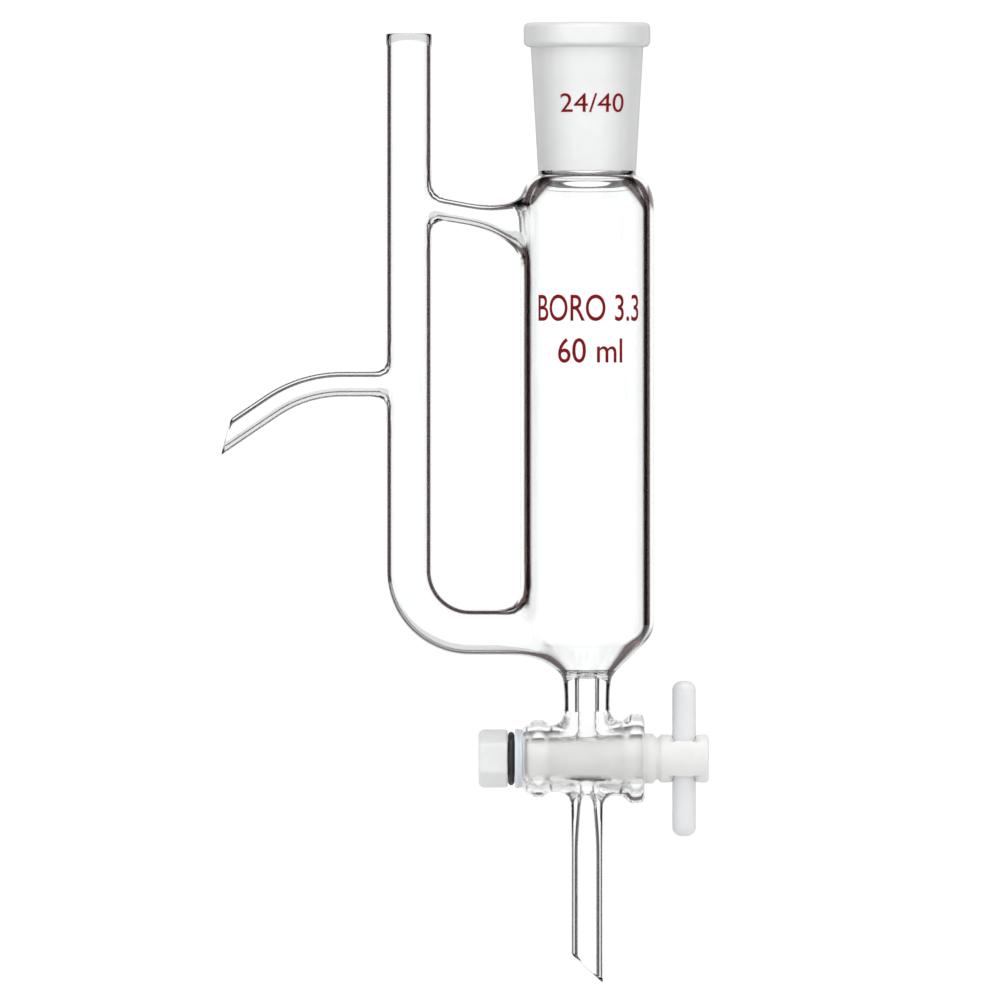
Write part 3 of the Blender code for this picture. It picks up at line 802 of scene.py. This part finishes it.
def white_plastic(name, dark, light, rough, turned=None):
    """A white plastic with mottling, fine grain and, with turned, lathe marks of that spacing."""
    made = Finish(name, IOR=1.4)
    made.colour(made.noise(5.0, detail=4.0), dark, light)
    made.roughness(made.noise(0.8, detail=3.0), rough - 0.06, rough + 0.08)
    if turned:
        made.bump(made.noise((turned, 40.0, 40.0)), 0.012)
    made.bump(made.noise(0.3), 0.006)
    return made.material


def black_rubber():
    made = Finish("o_ring_rubber", IOR=1.5)
    made.colour(made.noise(0.7, detail=5.0), (0.008, 0.008, 0.009), (0.022, 0.021, 0.021))
    made.roughness(made.noise(1.2, detail=3.0), 0.38, 0.6)
    made.bump(made.noise(0.25, detail=3.0), 0.015)
    return made.material


def red_enamel():
    """Fired ceramic ink, a little uneven in thickness."""
    made = Finish("red_enamel", IOR=1.5, Specular_IOR_Level=0.12)
    made.colour(made.noise(0.5, detail=4.0), (0.19, 0.0, 0.002), (0.26, 0.001, 0.004))
    made.roughness(made.noise(0.4), 0.35, 0.55)
    made.bump(made.noise(0.2), 0.01)
    return made.material


# The stopcock's loose pieces ------------------------------

PLUG_LOW, PLUG_HIGH = node_box("stopcock_plug")
ROD_LOW, ROD_HIGH = node_box("handle_rod")
WASHER_LOW, WASHER_HIGH = node_box("ptfe_washer")
RING_LOW, RING_HIGH = node_box("o_ring")
NUT_LOW, NUT_HIGH = node_box("lock_nut")

PLUG_START, PLUG_CLEARANCE = -16.5, 0.07
PLUG_BORE_R = 2.0
PLUG_SHOULDER_R, PLUG_GROOVE_R, GROOVE_X = 6.75, 5.6, 18.9
HEAD_R, HEAD_START, HEAD_EDGE = 6.5, 20.0, 1.0
ROD_EDGE, PRESS_GAP = 2.6, 0.05
TAIL_R, WASHER_BORE_R = 4.8, 4.95
THREAD_PITCH, THREAD_DEPTH, THREAD_CLEARANCE = 2.0, 0.7, 0.3
NUT_ACROSS_FLATS = 14.0


def stopcock_line(radius_at):
    return Turned((0, 0, AXIS_Z), X, Z, radius_at)


def thread_r(along, sides, crest):
    """The radii of a rounded right-hand thread, one row for each place."""
    turns = np.arange(sides) * 2 * math.pi / sides
    wave = np.cos(2 * math.pi * np.asarray(along)[:, None] / THREAD_PITCH - turns)
    return crest - THREAD_DEPTH * (1 - wave) / 2


def capped(skin, ring, point):
    """Closes a ring with smaller rings round a point and a face in the middle."""
    edge = skin.points[ring]
    loops = [ring] + [skin.add(point + (edge - point) * part) for part in (0.8, 0.5, 0.2)]
    for low, high in zip(loops, loops[1:]):
        skin.faces += band(low, high)
    return tuple(loops[-1])


def make_plug(finish):
    """Threaded tail, smooth land, tapered plug with its cross bore, shoulder, groove and head."""
    sides = WIDE_SIDES
    tail = np.linspace(PLUG_LOW[0] + 0.4, WASHER_LOW[0] - 0.2, 60)
    rows = [(PLUG_LOW[0], np.full(sides, TAIL_R - THREAD_DEPTH - 0.5))]
    rows += [(PLUG_LOW[0] + 0.05, np.full(sides, TAIL_R - THREAD_DEPTH - 0.2))]
    rows += list(zip(tail, thread_r(tail, sides, TAIL_R)))

    def taper_at(place):
        return bore_radius(place) - PLUG_CLEARANCE

    smooth = [(x, TAIL_R) for x in np.linspace(WASHER_LOW[0] + 0.2, PLUG_START - 0.25, 6)]
    smooth += [(PLUG_START, taper_at(PLUG_START) - 0.3)]
    smooth += [(PLUG_START + 0.3, taper_at(PLUG_START + 0.3))]
    along = places(PLUG_START + 0.8, BARREL_END + 0.1, 1.2, (0, BRANCH_CELLS, 0.36))
    smooth += list(zip(along, taper_at(along)))
    smooth += [
        *((BARREL_END + 0.25, PLUG_SHOULDER_R - 0.1), (BARREL_END + 0.5, PLUG_SHOULDER_R)),
        *((GROOVE_X - 1.3, PLUG_SHOULDER_R), (GROOVE_X - 1.0, PLUG_SHOULDER_R - 0.12)),
        *((GROOVE_X - 0.35, PLUG_GROOVE_R + 0.15), (GROOVE_X, PLUG_GROOVE_R)),
        *((GROOVE_X + 0.35, PLUG_GROOVE_R + 0.12), (HEAD_START - 0.35, HEAD_R - 0.3)),
        *((HEAD_START - 0.1, HEAD_R - 0.1), (HEAD_START + 0.2, HEAD_R)),
    ]
    head_end, rod_x = PLUG_HIGH[0], (ROD_LOW[0] + ROD_HIGH[0]) / 2
    along = places(HEAD_START + 0.6, head_end - HEAD_EDGE, 0.8, (rod_x, NECK_CELLS, 0.36))
    smooth += [(x, HEAD_R) for x in along]
    edge = arc((HEAD_R - HEAD_EDGE, head_end - HEAD_EDGE), (HEAD_EDGE, HEAD_EDGE), 0, 90, 8)
    smooth += [(x, r) for r, x in edge[1:]]
    rows += [(x, np.full(sides, float(r))) for x, r in smooth]
    stations = np.array([x for x, _ in rows])
    skin = Skin()
    axis = stopcock_line(None)
    bores = ((0.0, BRANCH_CELLS, PLUG_BORE_R), (rod_x, NECK_CELLS, ROD_HIGH[0] - rod_x + PRESS_GAP))
    ends = [(x, cells, side) for x, cells, _ in bores for side in (0.0, 0.5)]
    holes = [hole_at(stations, x, cells, side, sides) for x, cells, side in ends]
    grid = skin.grid(axis.rings(stations, sides, np.array([r for _, r in rows])), holes)
    for number, (x, cells, radius) in enumerate(bores):
        way = Turned((x, 0, AXIS_Z), Z, Y, steady(radius))
        half = 5.0 if radius < 3 else 4.2
        depth = skin.grid(way.rings(np.linspace(half, -half, 9), 4 * cells))
        skin.bridge(rim_of(grid, holes[2 * number]), depth[0], 3)
        skin.bridge(rim_of(grid, holes[2 * number + 1]), depth[-1], 3)
        body = stopcock_line(taper_at if number == 0 else steady(HEAD_R))

        def surface(points, body=body, way=way):
            return smooth_max(body.distance(points), -way.distance(points), 0.25)

        for side in (1, -1):
            skin.relax(np.array([x, 0, AXIS_Z + side * 6.0]), 3.6 if number == 0 else 4.9, surface)
    last = capped(skin, grid[-1], np.array([head_end, 0, AXIS_Z]))
    tail_end = capped(skin, grid[0], np.array([PLUG_LOW[0], 0, AXIS_Z]))
    return object_of("ptfe_plug", skin.points, [*skin.faces, last, tail_end], (finish,))


def make_turned_solid(name, line, rows, sides, finish, hollow=False):
    """A piece turned from (radius, place) rows, capped or, when hollow, closed on itself."""
    skin = Skin()
    radii = np.array([np.broadcast_to(radius, sides) for radius, _ in rows])
    grid = skin.grid(line.rings([place for _, place in rows], sides, radii))
    if hollow:
        return object_of(name, skin.points, skin.faces + band(grid[-1], grid[0]), (finish,))
    ends = [capped(skin, grid[end], line.origin + rows[end][1] * line.along) for end in (0, -1)]
    return object_of(name, skin.points, [*skin.faces, *ends], (finish,))


def make_handle_rod(finish):
    centre = (ROD_LOW + ROD_HIGH) / 2
    half, radius = (ROD_HIGH[2] - ROD_LOW[2]) / 2, (ROD_HIGH[0] - ROD_LOW[0]) / 2
    end = arc((radius - ROD_EDGE, half - ROD_EDGE), (ROD_EDGE, ROD_EDGE), 0, 88, 12)
    rows = [(r, -place) for r, place in end[::-1]]
    rows += [(radius, place) for place in np.linspace(-half + 4, half - 4, 12)] + end
    return make_turned_solid("handle_bar", Turned(centre, Z, X, None), rows, 72, finish)


def make_washer(finish):
    start, end, outer = WASHER_LOW[0], WASHER_HIGH[0], WASHER_HIGH[2] - AXIS_Z
    edge = 0.35
    rows = [(WASHER_BORE_R + 0.1, start), (WASHER_BORE_R + 1.2, start)]
    rows += [(r, x) for x, r in arc((start + edge, outer - edge), (edge, edge), 180, 90, 5)]
    rows += [(outer, start + 1.1), (outer - 0.16, start + 1.2), (outer - 0.16, end - edge - 0.1)]
    rows += [(r, x) for x, r in arc((end - edge, outer - 0.16 - edge), (edge, edge), 90, 0, 5)]
    rows += [(WASHER_BORE_R + 1.2, end), (WASHER_BORE_R + 0.1, end), (WASHER_BORE_R, end - 0.1)]
    rows += [(WASHER_BORE_R, start + 0.1)]
    return make_turned_solid("seal_washer", stopcock_line(None), rows, WIDE_SIDES, finish, True)


def make_o_ring(finish):
    outer = RING_HIGH[2] - AXIS_Z
    half_r, half_x = (outer - WASHER_BORE_R) / 2, (RING_HIGH[0] - RING_LOW[0]) / 2
    middle = (RING_LOW[0] + RING_HIGH[0]) / 2
    rows = arc((outer - half_r, middle), (half_r, half_x), 0, 360, 28)[:-1]
    return make_turned_solid("rubber_ring", stopcock_line(None), rows, WIDE_SIDES, finish, True)


def make_nut(finish):
    """A hexagon nut with soft edges, thumb-worn corners and a thread that follows the tail's."""
    sides = 144
    turns = np.arange(sides) * 2 * math.pi / sides
    flats = np.cos(turns[:, None] - np.radians(30 + 60 * np.arange(6)))
    hexagon = ((np.clip(flats, 0, None) / (NUT_ACROSS_FLATS / 2)) ** 24).sum(axis=1) ** (-1 / 24)
    start, end = NUT_LOW[0], NUT_HIGH[0]
    crest = TAIL_R + THREAD_CLEARANCE
    wide, fine = 1.5, 0.7
    first = arc((0, wide), (wide, wide), 270, 360, 8)
    rows = [(hexagon - wide + out, start + rise) for out, rise in first]
    rows += [(hexagon, x) for x in np.linspace(start + 2, end - 1.1, 6)]
    last = arc((0, 0), (fine, fine), 0, 90, 5)
    rows += [(hexagon - fine + out, end - fine + rise) for out, rise in last]
    inner = np.linspace(end, start, 56)
    inside = thread_r(inner, sides, crest)
    rows += [(crest + 0.9, end)] + list(zip(inside, inner)) + [(crest + 0.2, start)]
    return make_turned_solid("hex_nut", stopcock_line(None), rows, sides, finish, True)


# Printed marks --------------------------------------------


# How far the ink's two sides are off the glass.
INK_INNER, INK_OUTER = 0.02, 0.07


def make_mark(name, words, finish, surface, height, width, centre_x, z, bold=0.0):
    """Flat letters cut into strips, wrapped round a turned surface and given a thickness."""
    curve = bpy.data.curves.new(name + "_letters", "FONT")
    curve.body = words
    curve.resolution_u = 6
    curve.offset = bold
    flat = placed(name + "_letters", curve)
    bpy.context.view_layer.update()
    graph = bpy.context.evaluated_depsgraph_get()
    mesh = bpy.data.meshes.new_from_object(flat.evaluated_get(graph))
    bpy.data.objects.remove(flat, do_unlink=True)
    bpy.data.curves.remove(curve)
    shape = bmesh.new()
    shape.from_mesh(mesh)
    bpy.data.meshes.remove(mesh)
    bmesh.ops.remove_doubles(shape, verts=shape.verts, dist=1e-5)
    bmesh.ops.dissolve_degenerate(shape, edges=shape.edges, dist=1e-4)
    at = np.array([corner.co for corner in shape.verts])[:, :2]
    low, high = at.min(axis=0), at.max(axis=0)
    at = (at - (low + high) / 2) * (np.array([width, height]) / (high - low))
    for corner, (x, y) in zip(shape.verts, at):
        corner.co = (x, y, 0)
    for cut in np.arange(-width / 2 + 0.5, width / 2, 0.5):
        every = [*shape.verts, *shape.edges, *shape.faces]
        bmesh.ops.bisect_plane(shape, geom=every, plane_co=(cut, 0, 0), plane_no=(1, 0, 0))
    bmesh.ops.dissolve_degenerate(shape, edges=shape.edges, dist=0.005)
    raised = bmesh.ops.extrude_face_region(shape, geom=list(shape.faces))["geom"]
    upper = {corner for corner in raised if isinstance(corner, bmesh.types.BMVert)}
    middle = float(surface(z))
    for corner in shape.verts:
        across, up = corner.co.x, corner.co.y
        radius = float(surface(z + up)) + (INK_OUTER if corner in upper else INK_INNER)
        turn = centre_x / middle + across / middle
        corner.co = (radius * math.sin(turn) * MM, -radius * math.cos(turn) * MM, (z + up) * MM)
    bmesh.ops.recalc_face_normals(shape, faces=shape.faces)
    return placed(name, mesh_of(name, shape, finish))


# The studio -----------------------------------------------


# The dark ring's soft edges: how far back a direction points, from 0 to 1.
RING_OUTER, RING_INNER = (0.26, 0.32), (0.78, 0.72)
RING_DEPTH, SKY = 0.97, 1.05


def make_world():
    """A white studio with a dark ring behind, which draws the edges of thick glass."""
    world = bpy.data.worlds.new("studio")
    bpy.context.scene.world = world
    world.use_nodes = True
    tree = world.node_tree
    shade = tree.nodes["Background"]

    def maths(kind, first, second):
        made = tree.nodes.new("ShaderNodeMath")
        made.operation = kind
        for socket, value in zip(made.inputs, (first, second)):
            if isinstance(value, bpy.types.NodeSocket):
                tree.links.new(value, socket)
            else:
                socket.default_value = value
        return made.outputs[0]

    def ramp(value, low, high):
        made = tree.nodes.new("ShaderNodeMapRange")
        made.interpolation_type = "SMOOTHSTEP"
        tree.links.new(value, made.inputs["Value"])
        made.inputs["From Min"].default_value, made.inputs["From Max"].default_value = low, high
        return made.outputs[0]

    split = tree.nodes.new("ShaderNodeSeparateXYZ")
    tree.links.new(tree.nodes.new("ShaderNodeTexCoord").outputs["Generated"], split.inputs[0])
    _, y, _ = split.outputs
    ring = maths("MULTIPLY", ramp(y, *RING_OUTER), ramp(y, *RING_INNER))
    bright = maths("SUBTRACT", 1.0, maths("MULTIPLY", ring, RING_DEPTH))
    tree.links.new(maths("MULTIPLY", bright, SKY), shade.inputs["Strength"])
    shade.inputs["Color"].default_value = (1, 1, 1, 1)


def make_floor():
    finish = Finish("floor_paint", Specular_IOR_Level=0.1)
    finish.colour(finish.noise(300.0, detail=3.0), (0.90, 0.90, 0.90), (0.93, 0.93, 0.93))
    finish.roughness(finish.noise(60.0), 0.7, 0.85)
    shape = bmesh.new()
    bmesh.ops.create_circle(shape, cap_ends=True, segments=96, radius=FLOOR_R)
    floor = placed("studio_floor", mesh_of("studio_floor", shape, finish.material))
    floor.location = (0, 0, FLOOR_Z)


def make_light(name, place, target, size, power):
    lamp = bpy.data.lights.new(name, "AREA")
    lamp.shape, lamp.size, lamp.energy = "SQUARE", size, power
    made = placed(name, lamp)
    made.location = place
    made.rotation_euler = (Vector(target) - Vector(place)).to_track_quat("-Z", "Y").to_euler()


def make_camera():
    lens = bpy.data.cameras.new("camera")
    lens.sensor_width, lens.lens = 36, 36 * CAMERA_DISTANCE / FRAME_WIDTH
    camera = placed("camera", lens)
    camera.location = CAMERA_AT
    camera.rotation_euler = (math.pi / 2, 0, 0)
    bpy.context.scene.camera = camera


FLOOR_Z, FLOOR_R = -0.61, 4.0
CAMERA_DISTANCE, FRAME_WIDTH = 8.0, 0.27
CAMERA_AT = (-0.0235, -CAMERA_DISTANCE, -0.1289)
STOPCOCK_AT = (0, 0, -0.19)


def main():
    clear, dark = (1, 1, 1), (0.02, 0.01, 0.01)
    # These stops paint shade into the glass: clear face-on, dark towards grazing; the first finish
    # gets a dark band.
    aslant, thin_aslant = ((0.56, clear), (0.66, dark)), ((0.40, clear), (0.50, dark))
    glass = (
        clear_glass("clear_glass", (0.44, clear), (0.50, dark), (0.64, dark), (0.70, clear)),
        frosted_glass(),
        # The dark Specular Tints paint shade into the reflections of the bore, neck, branch and
        # stem walls.
        clear_glass("clear_glass_bore", *aslant, Specular_Tint=(0.45, 0.44, 0.44, 1)),
        clear_glass("clear_glass_neck", *thin_aslant, Specular_Tint=(0.03, 0.02, 0.02, 1)),
        clear_glass("clear_glass_shell", opaque_from=(0.20, 0.38)),
        clear_glass("clear_glass_seat", opaque_from=(0.25, 0.55)),
        clear_glass("clear_glass_ends"),
        clear_glass("clear_glass_branch", *thin_aslant, Specular_Tint=(0.04, 0.03, 0.03, 1)),
        clear_glass("clear_glass_stem", *thin_aslant, Specular_Tint=(0.45, 0.44, 0.44, 1)),
    )
    enamel = red_enamel()
    ptfe = white_plastic("plug_ptfe", (0.83, 0.825, 0.81), (0.88, 0.875, 0.86), 0.4, turned=0.35)
    handle = white_plastic("handle_plastic", (0.80, 0.805, 0.82), (0.85, 0.855, 0.87), 0.38)
    washer = white_plastic("washer_ptfe", (0.74, 0.79, 0.85), (0.80, 0.84, 0.89), 0.4, turned=0.3)
    nut = white_plastic("nut_plastic", (0.80, 0.805, 0.81), (0.85, 0.855, 0.86), 0.42)
    glass_nodes = (
        *("ground_socket", "reservoir_shoulder", "reservoir_body", "reservoir_base"),
        *("bridge_tube", "riser_tube", "return_bend", "overflow_spout"),
        *("stopcock_neck", "stopcock_barrel", "drip_stem"),
    )
    pieces = (
        (make_glass_body(*glass), "glass", "clear_glass", *glass_nodes),
        (make_plug(ptfe), "plug", "plug_ptfe", "stopcock_plug"),
        (make_handle_rod(handle), "plug", "handle_plastic", "handle_rod"),
        (make_washer(washer), "plug", "washer_ptfe", "ptfe_washer"),
        (make_o_ring(black_rubber()), "seal", "o_ring_rubber", "o_ring"),
        (make_nut(nut), "nut", "nut_plastic", "lock_nut"),
    )
    for piece, body, slot, *nodes in pieces:
        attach(piece, body)
        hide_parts(*nodes)

    def socket_r(z):
        return np.interp(z, (SOCKET_FOOT_Z, RIM_Z - BEAD_HEIGHT), (SOCKET_FOOT_R, SOCKET_TOP_R))

    # (name, words, finish, surface, height, width, middle X, middle Z, boldness)
    side = steady(RESERVOIR_R)
    marks = (
        make_mark("mark_joint_size", "24/40", enamel, socket_r, 5.1, 18.3, 1.6, -21.8),
        make_mark("mark_glass_kind", "BORO 3.3", enamel, side, 7.2, 30.2, 0.5, -77.1, 0.005),
        make_mark("mark_volume", "60 ml", enamel, side, 6.7, 18.0, 0.9, -88.6, 0.005),
    )
    for mark in marks:
        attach(mark, "glass")

    make_world()
    make_floor()
    make_light("softbox_top", (-0.02, -0.5, 1.4), STOPCOCK_AT, 1.2, 6)
    make_camera()
    bpy.context.scene.view_settings.view_transform = "Standard"


main()
